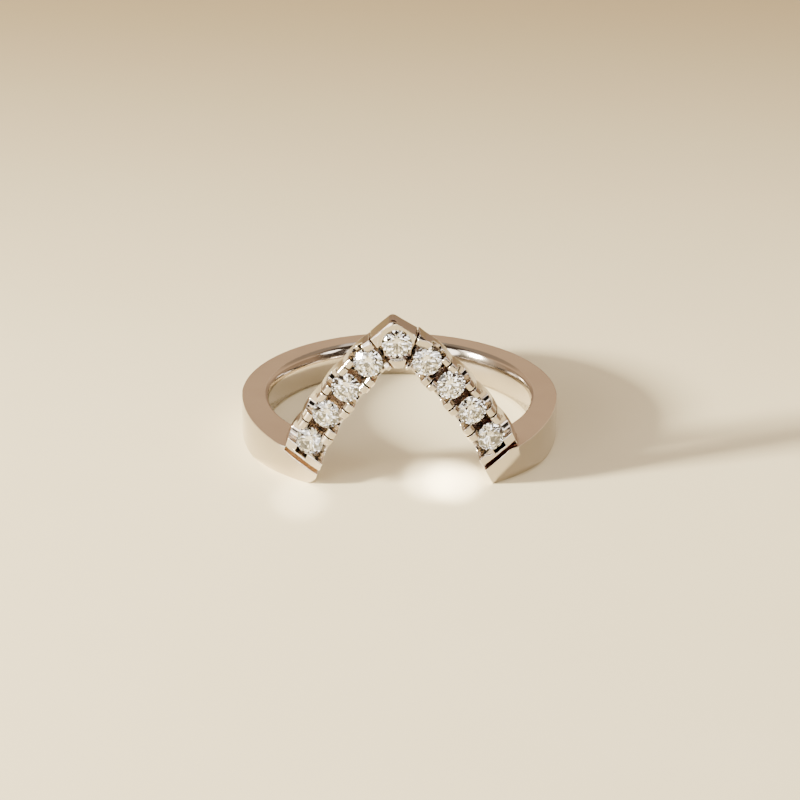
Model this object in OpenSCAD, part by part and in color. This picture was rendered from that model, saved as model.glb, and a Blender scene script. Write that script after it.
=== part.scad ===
// Chevron ring: a plain band whose ends turn up into a raised V, set with nine round brilliants.
// The origin is the middle of the finger hole, and Z is the finger's axis. The ring lies on its
// side, on the band's lower face, and the V rises at the front, towards -Y. Lengths are in millimetres.

/* [Band] */
// Diameter of the finger hole
bore_d = 16.5; // [15:0.1:19]
// Width of the band, measured along the finger
band_w = 2.4; // [2:0.1:3]
// Thickness of the band at the back of the finger
back_wall = 1.25; // [1:0.05:1.6]
// Thickness of the band at the sides of the finger
side_wall = 1.6; // [1.3:0.05:2]
// Distance from the finger's axis to the corner of each shoulder
shoulder_reach = 10.95; // [10.6:0.05:11]
// Angle of the shoulders' corners from the front
shoulder_angle = 42; // [38:1:48]
// Radius of the curve that draws the shoulders' outer face in towards the resting face
foot_curve = 4.3; // [3:0.1:8]
// Rounding of the finger hole's edges
edge_round = 0.3; // [0.1:0.05:0.5]
// Rounding of the left foot's inner corner at the resting face
left_foot_round = 1.6; // [0.2:0.05:1.8]
// Rounding of the right foot's inner corner at the resting face
right_foot_round = 0.25; // [0.2:0.05:1.8]

/* [Chevron] */
// Distance from the finger's axis to the front of the chevron, halfway up
head_front = 10.3; // [10:0.05:10.8]
// Height of the chevron's middle above the resting face
head_mid = 5; // [4.5:0.1:5.5]
// Radius of the chevron's front face across the finger
head_curve = 14; // [12:0.5:20]
// Thickness of the chevron's arms from front to back
head_t = 1.5; // [1.4:0.05:1.9]
// Angle by which the chevron leans back towards the finger
lean_back = 4; // [0:1:6]
// Angle by which the hand-made chevron leans to one side
lean_side = 2.1; // [0:0.1:4]
// Radius of the bow in each arm, along the middle of its stones
arm_curve = 24.5; // [20:0.1:36]
// Angle of the arm's bow at its first stone
arm_angle = 43.6; // [41:0.1:46]
// Height of the top stone above the resting face
apex_h = 9.82; // [9.4:0.02:10.4]
// Slope of the step from the top stone to the first stone of an arm
first_slope = 33.6; // [31:0.1:37]
// Distance from the stones' middle to an arm's upper side
upper_half = 0.98; // [0.94:0.02:1.16]
// Distance from the first stone's middle to an arm's lower side
lower_half = 1.2; // [1.14:0.02:1.4]
// Radius of an arm's lower side, which widens the arm towards its foot
lower_curve = 20; // [18:0.5:24]
// How far an arm's upper side bulges beside each stone
bulge = 0.1; // [0.03:0.01:0.15]
// Radius of that bulge
bulge_curve = 5; // [3:0.5:8]

/* [Top piece] */
// Height of the ridge above the top stone's middle
ridge_rise = 1.53; // [1.43:0.02:1.7]
// How far the hand-filed ridge lies to the left of the middle
ridge_off = 0.24; // [0.1:0.01:0.3]
// Rounding along the ridge
ridge_round = 0.35; // [0.1:0.05:0.6]
// Height of the left eave above the top stone's middle
left_eave_rise = 0.36; // [0.3:0.02:0.5]
// Distance of the left eave from the middle
left_eave = 1.61; // [1.5:0.01:1.7]
// Height of the right eave above the top stone's middle
right_eave_rise = 0.52; // [0.4:0.02:0.6]
// Distance of the right eave from the middle
right_eave = 1.24; // [1.16:0.01:1.36]
// Thickness of the top piece from front to back
top_t = 1.75; // [1.5:0.05:1.8]
// Width of the bevel along the roof's front edges
roof_bevel = 0.12; // [0.05:0.01:0.2]
// Distance from the top stone's middle down to the inner corner of the V
corner_drop = 1.47; // [1.4:0.01:1.6]
// Radius of the sunk plate round the top stone
plate_r = 1.14; // [1.08:0.01:1.18]
// Depth of the plate's rim below the front
plate_deep = 0.1; // [0.05:0.01:0.14]
// Depth to which the plate sinks at its middle
plate_middle = 0.18; // [0.16:0.01:0.22]
// How far the plate's middle lies above the stone's
plate_up = 0.14; // [0.1:0.01:0.18]
// Depth of the top stone's widest line below the front
top_sink = 0.22; // [0.2:0.01:0.3]
// Diameter of the pinhole in the ridge
pinhole_d = 0.34; // [0.2:0.02:0.4]
// How far the pinhole lies to the left of the middle
pinhole_off = 0.15; // [0.05:0.01:0.25]
// Distance of the pinhole behind the front
pinhole_back = 0.42; // [0.3:0.02:0.7]
// Depth of the pinhole below the ridge
pinhole_deep = 0.5; // [0.2:0.05:0.6]

/* [Stones] */
// Diameter of each stone
stone_d = 1.8; // [1.6:0.02:1.86]
// Distance from one stone's middle to the next
stone_pitch = 2.19; // [2.14:0.01:2.3]
// Depth of the widest line of the arms' stones below the front
stone_sink = 0.3; // [0.26:0.01:0.4]
// Clearance between a stone and its seat
stone_clear = 0.02; // [0.01:0.005:0.03]

/* [Setting] */
// Length of one prong along the arm
prong_l = 0.42; // [0.36:0.01:0.5]
// Width of the slot that splits each pair of prongs
slot_w = 0.12; // [0.1:0.01:0.2]
// Depth of that slot
slot_deep = 0.62; // [0.4:0.02:0.8]
// Distance between the upper and lower prongs
prong_gap = 1.06; // [0.8:0.02:1.2]
// Depth of the prongs' rounded tops below the front
prong_low = 0.02; // [0.01:0.01:0.1]
// Distance between the two blocks at the end of an arm
end_gap = 0.86; // [0.6:0.02:1.1]
// Depth of the troughs between the stones
trough_deep = 1.05; // [0.6:0.05:1.2]
// Depth of the bays beside the stones
bay_deep = 0.92; // [0.8:0.02:1.1]
// Diameter of the light holes behind the stones
light_hole_d = 0.9; // [0.6:0.05:1.1]
// Width of the groove between each arm and its foot
groove_w = 0.38; // [0.15:0.01:0.42]
// Depth of that groove
groove_deep = 0.6; // [0.3:0.05:0.8]
// Distance from the last stone's middle to the groove's middle
groove_at = 1.31; // [1.2:0.01:1.5]
// Width of the bevel along the groove's lower edge
groove_bevel = 0.12; // [0.06:0.01:0.2]
// Thickness of the metal between the last trough and the groove
end_web = 0.1; // [0.06:0.01:0.3]
// Width of the slots beside the top piece
top_slot_w = 0.15; // [0.12:0.01:0.26]
// Angle of the left one of these hand-sawn slots from the upright
left_slot_lean = 38; // [32:1:42]
// Angle of the right one from the upright
right_slot_lean = 24; // [20:1:34]
// Distance by which the right one lies inside the middle between its stones
right_slot_in = 0.12; // [0.04:0.01:0.16]

/* [Hidden] */
$fn = 96;
// Number of stones on each arm
arm_stones = 4;
// How far a cut runs past the metal
past = 1;
// Number of straight steps that round the ridge
ridge_steps = 6;
// Slope of the bevel along the roof's front edges
bevel_slope = 45;
bore_r = bore_d / 2;
stone_r = stone_d / 2;
// Height of the resting face
rest_z = -band_w / 2;

// The band's back: one circle through the back and both sides
side_x = bore_r + side_wall;
back_y = bore_r + back_wall;
back_r = (side_x * side_x / back_y + back_y) / 2;
// Each shoulder: a circle that leaves the side squarely and meets the shoulder's corner
corner_x = shoulder_reach * sin(shoulder_angle);
corner_y = shoulder_reach * cos(shoulder_angle);
shoulder_in = side_x - corner_x;
shoulder_r = (shoulder_in * shoulder_in + corner_y * corner_y) / (2 * shoulder_in);

// The chevron's own frame has its middle at x = 0, z = 0, and its front there at y = 0
top_z = apex_h - head_mid;
reach = 2 * shoulder_reach;
first = [stone_pitch * cos(first_slope), top_z - stone_pitch * sin(first_slope)];
bow = first - arm_curve * [cos(arm_angle), sin(arm_angle)];
lower_bow = first - (lower_half + lower_curve) * [cos(arm_angle), sin(arm_angle)];
pitch_angle = 2 * asin(stone_pitch / (2 * arm_curve));
// Middle of the step between the top stone and the first stone
joint = [first[0] / 2, (first[1] + top_z) / 2];
left_joint = joint;
right_joint = joint - [right_slot_in, 0];
// The roof's two slopes, its ridge, and the middle of the ridge's rounding
left_slope = atan2(ridge_rise - left_eave_rise, left_eave - ridge_off);
right_slope = atan2(ridge_rise - right_eave_rise, right_eave + ridge_off);
ridge = [-ridge_off, top_z + ridge_rise];
ridge_turn = (right_slope - left_slope) / 2;
ridge_half = (right_slope + left_slope) / 2;
ridge_mid = ridge - ridge_round / cos(ridge_half) * [sin(ridge_turn), cos(ridge_turn)];

// Shares of a stone's radius that give a round brilliant its facets
table_share = 0.56;
star_share = 0.77;
lower_share = 0.25;
// Shares of a stone's diameter that give its heights
crown_share = 0.15;
girdle_share = 0.03;
pavilion_share = 0.43;
facet_turn = 22.5;
table_r = table_share * stone_r;
star_r = star_share * stone_r;
lower_r = lower_share * stone_r;
crown_h = crown_share * stone_d;
girdle_h = girdle_share * stone_d;
pavilion_h = pavilion_share * stone_d;
star_y = -crown_h * (stone_r - star_r * cos(facet_turn)) / (stone_r - table_r);
lower_y = girdle_h + pavilion_h * (1 - lower_r * cos(facet_turn) / stone_r);

// The seat clears the stone all round, and its mouth clears the stone's crown
seat_r = stone_r + stone_clear;
mouth_r = seat_r + (seat_r - star_r - stone_clear) * crown_h / star_y;
// Half of the room between the prongs on one side of a stone
bay_half = stone_pitch / 2 - slot_w / 2 - prong_l;
// Share of a bay's width that is left where its round floor has its middle
bay_draft = 0.9;
// Radius of the slots' round floor, as a share of their width
slot_floor = 0.8;
// Radius of the prongs' tops, as a share of half their width
prong_round = 1.1;
// How far the rounding of the prongs' tops reaches along the arm from the middle between two stones
top_reach = stone_pitch / 3;
// Shares of the rounding of the hole's edges and the feet's corners that lie inside the metal, so that
// each meets the flat beside it at an angle
flare_share = 0.9;
corner_share = 0.97;
// Length of a cut that crosses the whole arm
across = 2 * (lower_half + 2 * past);

function arm_turn(k) = arm_angle - (k - 1) * pitch_angle;
function on_bow(turn) = bow + arm_curve * [cos(turn), sin(turn)];
function front_y(x) = head_curve - sqrt(head_curve * head_curve - x * x);
function face_turn(x) = asin(x / head_curve);
// Distance from the stones' middle to an arm's lower side
function under_half(turn) =
    let (way = [cos(turn), sin(turn)], shift = bow - lower_bow, mid = shift * way)
    arm_curve + mid - sqrt(mid ^ 2 - shift * shift + lower_curve ^ 2);
// Distance from a slot beside the top piece to the arm's upper side
function joint_half(start, way) =
    let (mid = (start - bow) * way)
    sqrt(mid ^ 2 + (arm_curve + upper_half) ^ 2 - (start - bow) * (start - bow)) - mid;
function from_upright(lean) = atan2(cos(lean), sin(lean));
function arm_slant(x, turn) = atan2(sin(turn) / cos(face_turn(x)), cos(turn));
function ring_point(r, turn, y) = [r * cos(turn), y, r * sin(turn)];

// Carries its children from the chevron's frame to the ring's
module lean() {
    translate([0, -head_front, rest_z + head_mid])
        rotate([-lean_back, -lean_side, 0])
            children();
}

// Carries its children to a point on the chevron's front: X across the arm, Y inwards, Z up the arm
module on_front(p, slant) {
    translate([p[0], front_y(p[0]), p[1]])
        rotate([0, 0, face_turn(p[0])])
            rotate([0, -slant, 0])
                children();
}

module on_arm(turn) {
    p = on_bow(turn);
    on_front(p, arm_slant(p[0], turn))
        children();
}

// A block cut from the front to a depth, centred across and along the arm
module front_cut(wide, deep, long) {
    translate([-wide / 2, -past, -long / 2])
        cube([wide, past + deep, long]);
}

// Extrudes a front-view outline from depth y0 to depth y1
module front_view(y0, y1) {
    translate([0, y1, 0])
        rotate([90, 0, 0])
            linear_extrude(y1 - y0)
                children();
}

// Plan of the band's outer edge
module band_plan() {
    intersection() {
        translate([0, back_y - back_r])
            circle(back_r);
        translate([-reach, 0])
            square([2 * reach, reach]);
    }
    intersection() {
        translate([side_x - shoulder_r, 0])
            circle(shoulder_r);
        translate([shoulder_r - side_x, 0])
            circle(shoulder_r);
        translate([-reach, -reach])
            square([2 * reach, reach]);
    }
}

// Turned form that limits the shoulders: upright at the top of the band, drawn in towards the floor
module shoulder_turning() {
    rotate_extrude()
        intersection() {
            union() {
                translate([shoulder_reach - foot_curve, band_w])
                    circle(foot_curve);
                square([shoulder_reach - foot_curve, band_w]);
            }
            square([shoulder_reach, band_w]);
        }
}

module band_body() {
    translate([0, 0, rest_z])
        intersection() {
            linear_extrude(band_w)
                band_plan();
            shoulder_turning();
        }
}

// Front view of one arm, from a slot beside the top piece down to the middle of the arm's groove
module arm_outline(start, slot_lean) {
    slot_way = [sin(slot_lean), cos(slot_lean)];
    end_turn = arm_turn(arm_stones) - groove_at / arm_curve * 180 / PI;
    end_way = [cos(end_turn), sin(end_turn)];
    along = 2 * lower_half;
    difference() {
        intersection() {
            union() {
                translate(bow)
                    circle(arm_curve + upper_half, $fn = 240);
                for (k = [1 : arm_stones])
                    translate(bow + (arm_curve + upper_half + bulge - bulge_curve)
                        * [cos(arm_turn(k)), sin(arm_turn(k))])
                        circle(bulge_curve);
            }
            polygon([start + along * slot_way, bow + (arm_curve + along) * end_way,
                bow + (arm_curve - along) * end_way, [0, bow[1]], [0, start[1]], start]);
        }
        arm_underside();
    }
}

// Front view of all that lies below an arm's lower side
module arm_underside() {
    translate(lower_bow)
        circle(lower_curve, $fn = 240);
}

// Front view of the roofed piece round the top stone
module top_outline() {
    step = 2 * ridge_half / ridge_steps;
    low_z = top_z - 2 * corner_drop;
    polygon(concat(
        [for (k = [0 : ridge_steps])
            ridge_mid + ridge_round * [sin(k * step - left_slope), cos(k * step - left_slope)]],
        [[right_eave, top_z + right_eave_rise], right_joint, [right_joint[0], low_z],
            [-left_joint[0], low_z], [-left_joint[0], left_joint[1]], [-left_eave, top_z + left_eave_rise]]));
}

// What is cut from the roof's front edge on the right of a ridge, to bevel it
module roof_edge(top, slope) {
    translate([top[0], 0, top[1]])
        rotate([0, slope, 0])
            translate([-past, 0, -roof_bevel])
                rotate([bevel_slope, 0, 0])
                    translate([0, -past, 0])
                        cube([2 * past + right_eave + left_eave, 2 * past, past]);
}

module top_body() {
    difference() {
        front_view(-past, top_t)
            top_outline();
        roof_edge(ridge, right_slope);
        mirror([1, 0, 0])
            roof_edge([-ridge[0], ridge[1]], left_slope);
    }
}

module arm_bodies() {
    difference() {
        front_view(-past, head_curve) {
            arm_outline(right_joint, right_slot_lean);
            mirror([1, 0])
                arm_outline(left_joint, left_slot_lean);
        }
        translate([0, head_curve, -reach])
            cylinder(h = 2 * reach, r = head_curve - head_t, $fn = 180);
    }
}

module head_body() {
    intersection() {
        union() {
            top_body();
            arm_bodies();
        }
        translate([0, head_curve, -reach])
            cylinder(h = 2 * reach, r = head_curve, $fn = 180);
    }
}

// The open space under the V, between the arms' lower sides
module under_chevron() {
    front_view(-2 * past, head_curve / 2) {
        intersection() {
            arm_underside();
            mirror([1, 0])
                arm_underside();
            translate([-reach, top_z - corner_drop - 2 * reach])
                square([2 * reach, 2 * reach]);
        }
        foot_corner(right_foot_round, lean_side);
        mirror([1, 0])
            foot_corner(left_foot_round, -lean_side);
    }
}

// Front view of what is cut from one foot to round its inner corner; tilt raises the resting face there
module foot_corner(round, tilt) {
    rest = -head_mid * (1 + tan(tilt));
    keep = corner_share * round;
    foot_x = lower_bow[0] + sqrt((lower_curve + keep) ^ 2 - (rest + keep - lower_bow[1]) ^ 2);
    middle = [foot_x, rest + keep];
    down = [0, -round - past];
    in = (lower_bow - middle) * (round + past) / norm(lower_bow - middle);
    difference() {
        polygon([middle, middle + down, middle + down + in, middle + in]);
        translate(middle)
            circle(round, $fn = 48);
    }
}

// Room for one stone, with the light hole behind it. Its mouth has radius mouth down to the depth
// deep, and from there it runs straight to the stone's widest line, at the depth sink
module seat(mouth, deep, sink) {
    shoulder = sink + girdle_h + stone_clear;
    light_r = light_hole_d / 2;
    light_y = shoulder + pavilion_h * (1 - light_r / seat_r);
    rotate([-90, 0, 0])
        rotate_extrude()
            polygon([[0, -past], [mouth, -past], [mouth, deep], [seat_r, sink], [seat_r, shoulder],
                [light_r, light_y], [light_r, 2 * head_t], [0, 2 * head_t]]);
}

// Extrudes a section drawn as (along the arm, inwards) across the arm, up to a distance from its middle
module across_arm(to) {
    translate([to, 0, 0])
        rotate([0, -90, 0])
            linear_extrude(to + across / 2)
                children();
}

// The bay beside a stone: sides that close a little on the way in, and a round floor
module bay() {
    floor_y = bay_deep - bay_half;
    inner = bay_draft * bay_half;
    across_arm(across / 2) {
        translate([0, floor_y])
            circle(bay_half, $fn = 48);
        polygon([[-bay_half, -past], [bay_half, -past], [inner, floor_y], [-inner, floor_y]]);
    }
}

// What is cut from the prongs that lie from a to b across the arm, and from low to high along it,
// to round their tops
module prong_top(a, b, low, high) {
    r = prong_round * (b - a) / 2;
    translate([(a + b) / 2, 0, low])
        difference() {
            translate([-r - prong_gap / 2, -past, 0])
                cube([2 * r + prong_gap, past + prong_low + r, high - low]);
            translate([0, prong_low + r, -past])
                cylinder(h = high - low + 2 * past, r = r, $fn = 48);
        }
}

// Rounds the tops of the upper and lower prongs between two stones; under and over are the distances
// to the arm's lower and upper sides
module prong_tops(low, high, under, over) {
    prong_top(prong_gap / 2, over + bulge, low, high);
    prong_top(-under, -prong_gap / 2, low, high);
}

// Trough between two stones
module trough() {
    front_cut(prong_gap, trough_deep, stone_pitch - light_hole_d);
}

// Slot with a wider, round floor that splits the prongs between two stones
module split(slot) {
    across_arm(across / 2) {
        translate([-slot / 2, -past])
            square([slot, past + slot_deep]);
        translate([0, slot_deep])
            circle(slot_floor * slot, $fn = 24);
    }
}

// Trough below an arm's last stone, and the bevelled groove that parts the arm from its foot
module arm_end() {
    near = light_hole_d / 2;
    far = groove_at - groove_w / 2 - end_web;
    foot_side = -groove_w / 2;
    translate([0, 0, -(near + far) / 2])
        front_cut(end_gap, trough_deep, far - near);
    translate([0, 0, -groove_at])
        across_arm(upper_half + bulge)
            polygon([[-foot_side, -past], [-foot_side, groove_deep], [foot_side, groove_deep],
                [foot_side, groove_bevel], [foot_side - groove_bevel - past, -past]]);
}

module arm_cuts(start, slot_lean) {
    for (k = [1 : arm_stones])
        on_arm(arm_turn(k)) {
            seat(mouth_r, stone_sink - crown_h, stone_sink);
            bay();
        }
    for (k = [1 : arm_stones - 1])
        on_arm(arm_turn(k + 0.5)) {
            trough();
            split(slot_w);
            prong_tops(-top_reach, top_reach, under_half(arm_turn(k + 0.5)), upper_half);
        }
    on_front(joint, from_upright(first_slope))
        trough();
    on_front(start, from_upright(slot_lean)) {
        split(top_slot_w);
        prong_tops(-stone_pitch / 2, 0, lower_half, joint_half(start, [sin(slot_lean), cos(slot_lean)]));
    }
    on_arm(arm_turn(arm_stones))
        arm_end();
}

// Seat of the top stone, the sunk plate round it and the pinhole in the ridge
module top_cuts() {
    translate([0, 0, top_z])
        seat(seat_r, 0, top_sink);
    translate([0, 0, top_z + plate_up])
        rotate([-90, 0, 0])
            rotate_extrude()
                polygon([[0, -past], [plate_r, -past], [plate_r, plate_deep], [0, plate_middle]]);
    translate([-pinhole_off, pinhole_back, top_z + ridge_rise - pinhole_deep])
        cylinder(h = past + pinhole_deep, r = pinhole_d / 2, $fn = 24);
}

// The finger hole, flared at both ends to round its edges
module finger_hole() {
    translate([0, 0, rest_z])
        rotate_extrude($fn = 180) {
            translate([0, -past])
                square([bore_r, past + band_w + reach]);
            hole_flare();
            translate([0, band_w])
                mirror([0, 1])
                    hole_flare();
        }
}

module hole_flare() {
    drop = edge_round * flare_share;
    difference() {
        translate([bore_r - edge_round, drop - 2 * edge_round])
            square([2 * edge_round, 2 * edge_round]);
        translate([bore_r + edge_round, drop])
            circle(edge_round, $fn = 48);
    }
}

module band() {
    color("silver")
        difference() {
            union() {
                band_body();
                lean()
                    head_body();
            }
            finger_hole();
            lean() {
                under_chevron();
                arm_cuts(right_joint, right_slot_lean);
                mirror([1, 0, 0])
                    arm_cuts(left_joint, left_slot_lean);
                top_cuts();
            }
        }
}

// A round brilliant whose widest line starts at y = 0 and whose table faces -Y
module brilliant() {
    table = 0;
    star = 8;
    girdle = 16;
    under = 32;
    lower = 48;
    culet = 56;
    points = concat(
        [for (k = [0 : 7]) ring_point(table_r, 2 * k * facet_turn, -crown_h)],
        [for (k = [0 : 7]) ring_point(star_r, (2 * k + 1) * facet_turn, star_y)],
        [for (k = [0 : 15]) ring_point(stone_r, k * facet_turn, 0)],
        [for (k = [0 : 15]) ring_point(stone_r, k * facet_turn, girdle_h)],
        [for (k = [0 : 7]) ring_point(lower_r, (2 * k + 1) * facet_turn, lower_y)],
        [[0, girdle_h + pavilion_h, 0]]);
    faces = concat(
        [[for (k = [7 : -1 : 0]) table + k]],
        [for (k = [0 : 7]) [table + k, table + (k + 1) % 8, star + k]],
        [for (k = [0 : 7]) [table + k, star + k, girdle + 2 * k, star + (k + 7) % 8]],
        [for (k = [0 : 7]) [star + k, girdle + 2 * k + 1, girdle + 2 * k]],
        [for (k = [0 : 7]) [star + k, girdle + (2 * k + 2) % 16, girdle + 2 * k + 1]],
        [for (k = [0 : 15]) [girdle + k, girdle + (k + 1) % 16, under + (k + 1) % 16, under + k]],
        [for (k = [0 : 7]) [under + 2 * k, under + 2 * k + 1, lower + k]],
        [for (k = [0 : 7]) [under + 2 * k + 1, under + (2 * k + 2) % 16, lower + k]],
        [for (k = [0 : 7]) [culet, lower + (k + 7) % 8, under + 2 * k, lower + k]]);
    polyhedron(points, faces);
}

module arm_stone(k) {
    color("white")
        on_arm(arm_turn(k))
            translate([0, stone_sink, 0])
                brilliant();
}

module stone_top() {
    color("white")
        lean()
            translate([0, top_sink, top_z])
                brilliant();
}

module stone_right(k) {
    lean()
        arm_stone(k);
}

module stone_left(k) {
    lean()
        mirror([1, 0, 0])
            arm_stone(k);
}

band();
stone_top();
stone_right(1);  // stone_right_1
stone_right(2);  // stone_right_2
stone_right(3);  // stone_right_3
stone_right(4);  // stone_right_4
stone_left(1);  // stone_left_1
stone_left(2);  // stone_left_2
stone_left(3);  // stone_left_3
stone_left(4);  // stone_left_4
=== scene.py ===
"""Looks of the chevron ring: polished white gold and nine clear round brilliants on a pale floor.
Lengths are in metres, in the ring's own frame: it lies on its side and the V rises towards -Y."""

import math

import bpy
from mathutils import Matrix, Vector


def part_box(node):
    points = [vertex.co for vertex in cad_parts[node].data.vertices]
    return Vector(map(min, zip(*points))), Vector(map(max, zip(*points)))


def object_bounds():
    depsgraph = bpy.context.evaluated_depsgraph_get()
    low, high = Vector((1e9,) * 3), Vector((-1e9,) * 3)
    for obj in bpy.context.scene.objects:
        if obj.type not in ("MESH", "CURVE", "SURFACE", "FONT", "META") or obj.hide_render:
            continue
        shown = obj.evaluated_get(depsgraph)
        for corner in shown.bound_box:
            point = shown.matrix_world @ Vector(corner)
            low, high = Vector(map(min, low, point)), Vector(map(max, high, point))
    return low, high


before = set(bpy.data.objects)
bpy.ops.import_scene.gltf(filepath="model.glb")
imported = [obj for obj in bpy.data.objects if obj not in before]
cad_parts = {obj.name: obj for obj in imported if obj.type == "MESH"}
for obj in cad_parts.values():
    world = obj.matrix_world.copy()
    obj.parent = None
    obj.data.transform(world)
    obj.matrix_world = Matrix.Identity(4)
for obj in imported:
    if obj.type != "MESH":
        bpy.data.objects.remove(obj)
cad_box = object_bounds()

MM = 0.001

# Node helpers. The colour mix node has sockets of the same name, so these are known by number.
MIX_FIRST = 6
MIX_SECOND = 7
MIX_RESULT = 2
NOISE_ROUGHNESS = 0.55


def new_material(name):
    """A material with an empty tree but for its output."""
    material = bpy.data.materials.new(name)
    material.use_nodes = True
    tree = material.node_tree
    tree.nodes.clear()
    output = tree.nodes.new("ShaderNodeOutputMaterial")
    return material, tree, output


def new_shader(tree, output):
    """The main shader of a material, joined to its output."""
    shader = tree.nodes.new("ShaderNodeBsdfPrincipled")
    tree.links.new(shader.outputs["BSDF"], output.inputs["Surface"])
    return shader


def node(tree, kind, **values):
    """A node with its own settings."""
    made = tree.nodes.new(kind)
    for key, value in values.items():
        setattr(made, key, value)
    return made


def feed(tree, socket, value):
    """Joins a socket to another node's output, or gives it a plain value."""
    if isinstance(value, bpy.types.NodeSocket):
        tree.links.new(value, socket)
    else:
        socket.default_value = value


def own_place(tree):
    """The point of the surface in the object's own frame."""
    return node(tree, "ShaderNodeTexCoord").outputs["Object"]


def split(tree, vector):
    """The outputs X, Y and Z of a vector."""
    parts = node(tree, "ShaderNodeSeparateXYZ")
    tree.links.new(vector, parts.inputs["Vector"])
    return parts.outputs


def maths(tree, operation, first, second=None, **values):
    """The result of a sum of two values, or of one."""
    made = node(tree, "ShaderNodeMath", operation=operation, **values)
    feed(tree, made.inputs[0], first)
    if second is not None:
        feed(tree, made.inputs[1], second)
    return made.outputs["Value"]


def vector_maths(tree, operation, first, second=None):
    """The outputs Vector and Value of a sum of two vectors, or of one."""
    made = node(tree, "ShaderNodeVectorMath", operation=operation)
    feed(tree, made.inputs[0], first)
    if second is not None:
        feed(tree, made.inputs[1], second)
    return made.outputs


def noise(tree, place, scale, detail):
    """Seedless noise from 0 to 1."""
    made = node(tree, "ShaderNodeTexNoise")
    made.inputs["Scale"].default_value = scale
    made.inputs["Detail"].default_value = detail
    made.inputs["Roughness"].default_value = NOISE_ROUGHNESS
    tree.links.new(place, made.inputs["Vector"])
    return made.outputs["Fac"]


def ramp(tree, value, stops):
    """A colour that runs through the stops (position, colour) as the value grows."""
    made = node(tree, "ShaderNodeValToRGB")
    elements = made.color_ramp.elements
    while len(elements) < len(stops):
        elements.new(0.5)
    for element, (position, colour) in zip(elements, stops):
        element.position = position
        element.color = (*colour, 1.0)
    tree.links.new(value, made.inputs["Fac"])
    return made.outputs["Color"]


def fade(tree, value, start, end, low=0.0, high=1.0, kind="SMOOTHSTEP"):
    """low where the value is at start, high where it is at end, and held beyond both."""
    made = node(tree, "ShaderNodeMapRange", interpolation_type=kind)
    made.inputs["From Min"].default_value = start
    made.inputs["From Max"].default_value = end
    made.inputs["To Min"].default_value = low
    made.inputs["To Max"].default_value = high
    tree.links.new(value, made.inputs["Value"])
    return made.outputs["Result"]


def mix(tree, share, first, second):
    """The first colour where the share is 0 and the second where it is 1."""
    made = node(tree, "ShaderNodeMix", data_type="RGBA")
    tree.links.new(share, made.inputs["Factor"])
    feed(tree, made.inputs[MIX_FIRST], first)
    feed(tree, made.inputs[MIX_SECOND], second)
    return made.outputs[MIX_RESULT]


def near_point(tree, place, middle, reach, soft):
    """1 within reach of a point, fading to 0 over soft more."""
    gap = vector_maths(tree, "DISTANCE", place, middle)["Value"]
    return fade(tree, gap, reach, reach + soft, 1.0, 0.0)


# Places and sizes on the ring.
BORE_R = 8.25 * MM
BAND_W = 2.4 * MM
stone_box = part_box("stone_top")
top_middle = (Vector(stone_box[0]) + Vector(stone_box[1])) / 2
# The sunk plate round the top stone, which is kept free of the painted shade.
PLATE_MIDDLE = top_middle + Vector((0, -0.5, 0.35)) * MM
PLATE_REACH = 1.10 * MM
PLATE_FADE = 0.15 * MM
# The pinhole under the ridge, which gets the painted shade.
PINHOLE = top_middle + Vector((-0.20, 0.02, 1.40)) * MM
PINHOLE_REACH = 0.20 * MM
PINHOLE_FADE = 0.02 * MM

# White gold. Each noise is a scale and a detail.
GOLD_DULL = (0.55, 0.49, 0.43)
GOLD_FRESH = (0.59, 0.53, 0.465)
GOLD_TONE = (0.35, 0.65)
GOLD_TONE_NOISE = (260.0, 2.0)
# Painted highlight on the edges: the base colour turns bright by how far the rounded edge turns
# from the face (as a cosine).
EDGE_HIGHLIGHT_COLOUR = (0.98, 0.95, 0.90)
EDGE_ROUND = 0.10 * MM
EDGE_HIGHLIGHT_TURN = (0.99, 0.86)
EDGE_SAMPLES = 6
# Painted shade in the recesses, lighter at the left, where the key lamp falls, than at the right.
PAINTED_SHADE_LEFT = (0.54, 0.42, 0.32)
PAINTED_SHADE_RIGHT = (0.10, 0.026, 0.016)
PAINTED_SHADE_FROM_X = -4.0 * MM
PAINTED_SHADE_TO_X = 2.0 * MM
RECESS_REACH = 1.1 * MM
RECESS_OPEN = (0.34, 0.84)
RECESS_SAMPLES = 4
# The wall of the finger hole: its lean at either edge, and how far from the wall that fades.
WALL_TILT = 0.60
WALL_NEAR = 0.05 * MM
WALL_FAR = 0.14 * MM
# Uneven polish.
POLISH_NOISE = (900.0, 4.0)
POLISH_ROUGHNESS = (0.06, 0.14)
RIPPLE_NOISE = (420.0, 2.0)
RIPPLE_STRENGTH = 0.025
RIPPLE_HEIGHT = 0.05 * MM


def inner_wall_tilt(tree, parts, normal):
    """Turns the shading of the finger hole's wall up towards its top and down towards its bottom,
    because the polish leaves that wall a little convex."""
    flat = node(tree, "ShaderNodeCombineXYZ")
    tree.links.new(parts["X"], flat.inputs["X"])
    tree.links.new(parts["Y"], flat.inputs["Y"])
    away_from_axis = vector_maths(tree, "LENGTH", flat.outputs["Vector"])["Value"]
    gap = maths(tree, "ABSOLUTE", maths(tree, "SUBTRACT", away_from_axis, BORE_R))
    lean = fade(tree, gap, WALL_NEAR, WALL_FAR, WALL_TILT / (BAND_W / 2), 0.0, "LINEAR")
    height = node(tree, "ShaderNodeClamp")
    height.inputs["Min"].default_value = -BAND_W / 2
    height.inputs["Max"].default_value = BAND_W / 2
    tree.links.new(parts["Z"], height.inputs["Value"])
    up_by = node(tree, "ShaderNodeCombineXYZ")
    tree.links.new(maths(tree, "MULTIPLY", lean, height.outputs["Result"]), up_by.inputs["Z"])
    leaned = vector_maths(tree, "ADD", normal, up_by.outputs["Vector"])["Vector"]
    return vector_maths(tree, "NORMALIZE", leaned)["Vector"]


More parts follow.
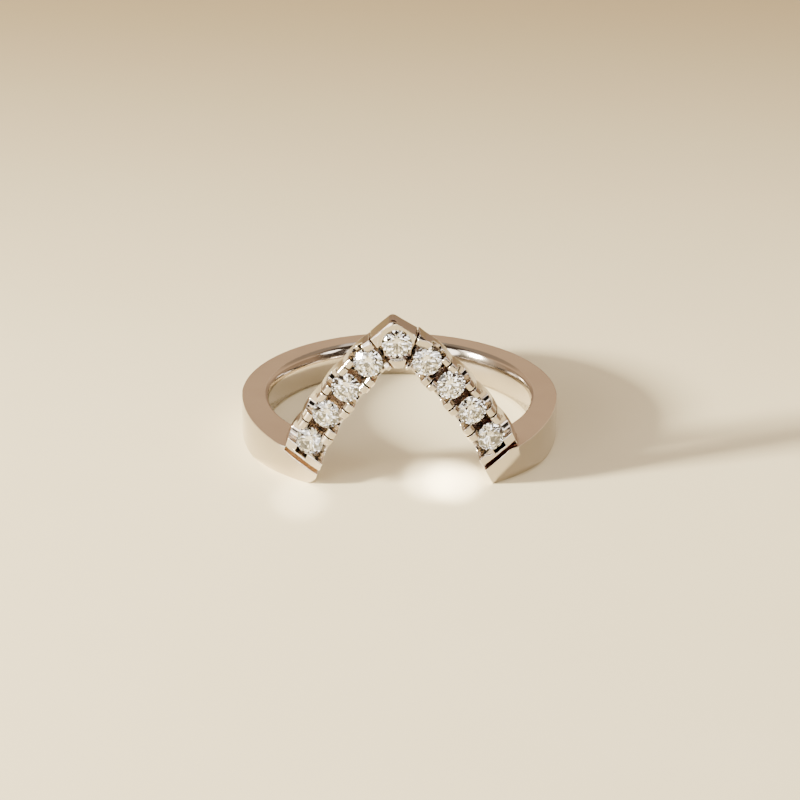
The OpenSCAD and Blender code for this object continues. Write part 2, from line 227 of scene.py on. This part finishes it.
def unshaded_share(tree, place):
    """0 in the recesses and the pinhole, where shade is painted, 1 on open faces and on the plate.
    """
    recess = node(tree, "ShaderNodeAmbientOcclusion", samples=RECESS_SAMPLES, only_local=True)
    recess.inputs["Distance"].default_value = RECESS_REACH
    openness = fade(tree, recess.outputs["AO"], *RECESS_OPEN)
    plate = near_point(tree, place, PLATE_MIDDLE, PLATE_REACH, PLATE_FADE)
    hole = near_point(tree, place, PINHOLE, PINHOLE_REACH, PINHOLE_FADE)
    unshaded = maths(tree, "MAXIMUM", openness, plate)
    return maths(tree, "SUBTRACT", unshaded, hole, use_clamp=True)


def white_gold():
    """Hand-polished white gold: soft rounded edges with a painted highlight, uneven polish and
    painted shade in its recesses.
    """
    material, tree, output = new_material("polished_white_gold")
    shader = new_shader(tree, output)
    shader.inputs["Metallic"].default_value = 1.0
    place = own_place(tree)
    parts = split(tree, place)

    tone = noise(tree, place, *GOLD_TONE_NOISE)
    bright = ramp(tree, tone, [(GOLD_TONE[0], GOLD_DULL), (GOLD_TONE[1], GOLD_FRESH)])
    # Painted shade: a dark colour for the recesses, lighter at the left where the key lamp falls.
    across = fade(tree, parts["X"], PAINTED_SHADE_FROM_X, PAINTED_SHADE_TO_X)
    painted_shade_colour = ramp(tree, across, [(0.0, PAINTED_SHADE_LEFT), (1.0, PAINTED_SHADE_RIGHT)])
    unshaded = unshaded_share(tree, place)
    # The painted shade goes into the recesses; elsewhere the metal keeps its own tone.
    colour = mix(tree, unshaded, painted_shade_colour, bright)

    edge = node(tree, "ShaderNodeBevel", samples=EDGE_SAMPLES)
    edge.inputs["Radius"].default_value = EDGE_ROUND
    face = node(tree, "ShaderNodeNewGeometry").outputs["Normal"]
    turned = vector_maths(tree, "DOT_PRODUCT", edge.outputs["Normal"], face)["Value"]
    # Painted highlight: the rounded edges get a bright base colour, except where the shade is
    # painted.
    painted_edge_highlight = maths(tree, "MULTIPLY", fade(tree, turned, *EDGE_HIGHLIGHT_TURN), unshaded)
    colour_with_highlight = mix(tree, painted_edge_highlight, colour, (*EDGE_HIGHLIGHT_COLOUR, 1.0))
    tree.links.new(colour_with_highlight, shader.inputs["Base Color"])

    polish = noise(tree, place, *POLISH_NOISE)
    rough = fade(tree, polish, 0.0, 1.0, *POLISH_ROUGHNESS, "LINEAR")
    tree.links.new(rough, shader.inputs["Roughness"])

    wave = node(tree, "ShaderNodeBump")
    wave.inputs["Strength"].default_value = RIPPLE_STRENGTH
    wave.inputs["Distance"].default_value = RIPPLE_HEIGHT
    tree.links.new(noise(tree, place, *RIPPLE_NOISE), wave.inputs["Height"])
    tree.links.new(inner_wall_tilt(tree, parts, edge.outputs["Normal"]), wave.inputs["Normal"])
    tree.links.new(wave.outputs["Normal"], shader.inputs["Normal"])
    return material


DIAMOND_INDEX = 2.42


def diamond():
    """Clear colourless stone with a high index and sharp flat facets."""
    material, tree, output = new_material("clear_brilliant")
    shader = new_shader(tree, output)
    shader.inputs["Base Color"].default_value = (1.0, 1.0, 1.0, 1.0)
    shader.inputs["Roughness"].default_value = 0.0
    shader.inputs["IOR"].default_value = DIAMOND_INDEX
    shader.inputs["Transmission Weight"].default_value = 1.0
    return material


# Floor: its colours near the ring, its colour far behind, and the stretch of Y between them.
FLOOR_NEAR = [(0.3, (0.80, 0.70, 0.48)), (0.7, (0.82, 0.72, 0.50))]
FLOOR_FAR = (0.30, 0.22, 0.12)
FLOOR_SHADE_Y = (-0.01, 0.10)
FLOOR_NOISE = (60.0, 3.0)
FLOOR_ROUGHNESS = 0.75
FLOOR_SPECULAR = 0.2
FLOOR_HALF = 0.9


def pale_floor():
    """Matt pale sheet that falls into shade towards the back."""
    material, tree, output = new_material("pale_floor")
    shader = new_shader(tree, output)
    shader.inputs["Roughness"].default_value = FLOOR_ROUGHNESS
    shader.inputs["Specular IOR Level"].default_value = FLOOR_SPECULAR
    place = own_place(tree)
    near = ramp(tree, noise(tree, place, *FLOOR_NOISE), FLOOR_NEAR)
    far = fade(tree, split(tree, place)["Y"], *FLOOR_SHADE_Y)
    tree.links.new(mix(tree, far, near, (*FLOOR_FAR, 1.0)), shader.inputs["Base Color"])
    return material


gold = white_gold()
clear = diamond()
for name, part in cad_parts.items():
    part.data.materials.clear()
    part.data.materials.append(clear if name.startswith("stone") else gold)

floor_z = cad_box[0][2]
FLOOR_POINT = Vector((0, 0, floor_z))
corners = [(x * FLOOR_HALF, y * FLOOR_HALF, 0) for x, y in ((-1, -1), (1, -1), (1, 1), (-1, 1))]
floor_mesh = bpy.data.meshes.new("floor")
floor_mesh.from_pydata(corners, [], [(0, 1, 2, 3)])
floor_mesh.materials.append(pale_floor())
floor = bpy.data.objects.new("floor", floor_mesh)
floor.location = FLOOR_POINT
bpy.context.scene.collection.objects.link(floor)

# Lamps. Their places and aims are measured from FLOOR_POINT, powers are in watts.
# Each area lamp: name, place, size, power, colour. Both look at the ring's middle.
RING_MIDDLE = (0, 0, 0.003)
AREA_LAMPS = [
    ("key_left", (-0.406, -0.148, 0.127), (0.06, 0.06), 14.5, (1.0, 0.94, 0.74)),
    ("overhead", (0.05, 0.05, 0.5), (0.35, 0.25), 0.3, (1.0, 0.94, 0.88)),
]
# Each soft warm glint that the polished metal throws on the floor: name, aim, width, power.
GLINTS = [
    ("glint_right_foot", (0.0033, -0.0082, 0), 0.0034, 24.0),
    ("glint_middle", (0.0020, -0.0080, 0), 0.0030, 14.0),
    ("glint_left_foot", (-0.0060, -0.0109, 0), 0.0044, 7.0),
]
GLINT_FROM = Vector((0.0, -0.20, 0.14))
GLINT_COLOUR = (1.0, 0.93, 0.78)
GLINT_LAMP_SIZE = 0.0004


def hang(name, lamp, place, aim):
    """Puts a lamp at a place and turns it towards its aim."""
    made = bpy.data.objects.new(name, lamp)
    made.location = FLOOR_POINT + Vector(place)
    way = Vector(aim) - Vector(place)
    made.rotation_euler = way.to_track_quat("-Z", "Y").to_euler()
    bpy.context.scene.collection.objects.link(made)


for name, place, size, power, colour in AREA_LAMPS:
    lamp = bpy.data.lights.new(name, "AREA")
    lamp.shape = "RECTANGLE"
    lamp.size, lamp.size_y = size
    lamp.energy = power
    lamp.color = colour
    hang(name, lamp, place, RING_MIDDLE)

for name, aim, wide, power in GLINTS:
    lamp = bpy.data.lights.new(name, "SPOT")
    lamp.spot_size = 2 * math.atan(wide / 2 / GLINT_FROM.length)
    lamp.spot_blend = 1.0
    lamp.shadow_soft_size = GLINT_LAMP_SIZE
    lamp.energy = power
    lamp.color = GLINT_COLOUR
    hang(name, lamp, Vector(aim) + GLINT_FROM, aim)

# Studio. Its walls change colour with Z, from the horizon at 0 to overhead at 1.
WALLS = [
    (0.0, (0.56, 0.38, 0.24)),
    (0.24, (0.56, 0.38, 0.24)),
    (0.36, (1.0, 0.69, 0.43)),
    (0.5, (1.0, 0.69, 0.43)),
    (0.62, (0.55, 0.40, 0.27)),
    (1.0, (0.45, 0.38, 0.31)),
]
# Round patches of the studio: way, width and fade in degrees, colour. Later ones lie over earlier.
PANEL_COLOUR = (7.0, 6.6, 6.0)
PANEL_FADE = 3
PANELS = [
    ((-0.62, -0.75, 0.28), 22),
    ((0.58, -0.80, 0.24), 16),
    ((-0.26, -0.80, 0.78), 16),
    ((0.32, -0.72, 0.82), 14),
    ((-0.86, -0.32, 0.52), 18),
    ((0.86, -0.42, 0.45), 14),
    ((0.0, -0.42, 0.95), 18),
    ((-0.36, -0.95, 0.13), 12),
    ((0.28, -1.0, 0.10), 10),
]
DIM_FRONT = ((0, -1, 0.4), 120, 20, (0.09, 0.062, 0.042))
DARK_FRONT = ((0, -0.91, 0.41), 38, 10, (0.02, 0.016, 0.012))
PATCHES = [DIM_FRONT, *((way, wide, PANEL_FADE, PANEL_COLOUR) for way, wide in PANELS), DARK_FRONT]

world = bpy.data.worlds.new("studio")
world.use_nodes = True
bpy.context.scene.world = world
sky = world.node_tree
sky.nodes.clear()
sky_output = sky.nodes.new("ShaderNodeOutputWorld")
sky_back = sky.nodes.new("ShaderNodeBackground")
sky.links.new(sky_back.outputs["Background"], sky_output.inputs["Surface"])
sky_way = node(sky, "ShaderNodeTexCoord").outputs["Generated"]
sky_colour = ramp(sky, split(sky, sky_way)["Z"], WALLS)
for way, wide, soft, colour in PATCHES:
    nearness = vector_maths(sky, "DOT_PRODUCT", sky_way, Vector(way).normalized())["Value"]
    outside = math.cos(math.radians(wide / 2 + soft))
    inside = math.cos(math.radians(wide / 2))
    sky_colour = mix(sky, fade(sky, nearness, outside, inside), sky_colour, (*colour, 1.0))
sky.links.new(sky_colour, sky_back.inputs["Color"])

# Camera: the photo's angle above the floor, its tilt, and where FLOOR_POINT falls in the picture.
IMAGE = 800
ELEVATION = math.radians(24.0)
ROLL = math.radians(0.46)
DISTANCE = 0.3
FOCAL_PX = 4772.5
CENTRE_PX = (399.16, 426.93)
SENSOR = 36.0
NEAREST = 0.01
FARTHEST = 5.0

away = Vector((0, -math.cos(ELEVATION), math.sin(ELEVATION)))
right = Vector((1, 0, 0))
up = right.cross(-away)
right, up = (
    right * math.cos(ROLL) + up * math.sin(ROLL),
    up * math.cos(ROLL) - right * math.sin(ROLL),
)
look = -away * FOCAL_PX + right * (IMAGE / 2 - CENTRE_PX[0]) + up * (CENTRE_PX[1] - IMAGE / 2)
look.normalize()
right = (right - look * right.dot(look)).normalized()
up = right.cross(look)
lens = bpy.data.cameras.new("camera")
lens.sensor_width = SENSOR
lens.lens = FOCAL_PX * SENSOR / IMAGE
lens.clip_start = NEAREST
lens.clip_end = FARTHEST
camera = bpy.data.objects.new("camera", lens)
turn = Matrix((right, up, -look)).transposed().to_4x4()
camera.matrix_world = Matrix.Translation(FLOOR_POINT + away * DISTANCE) @ turn
bpy.context.scene.collection.objects.link(camera)
bpy.context.scene.camera = camera
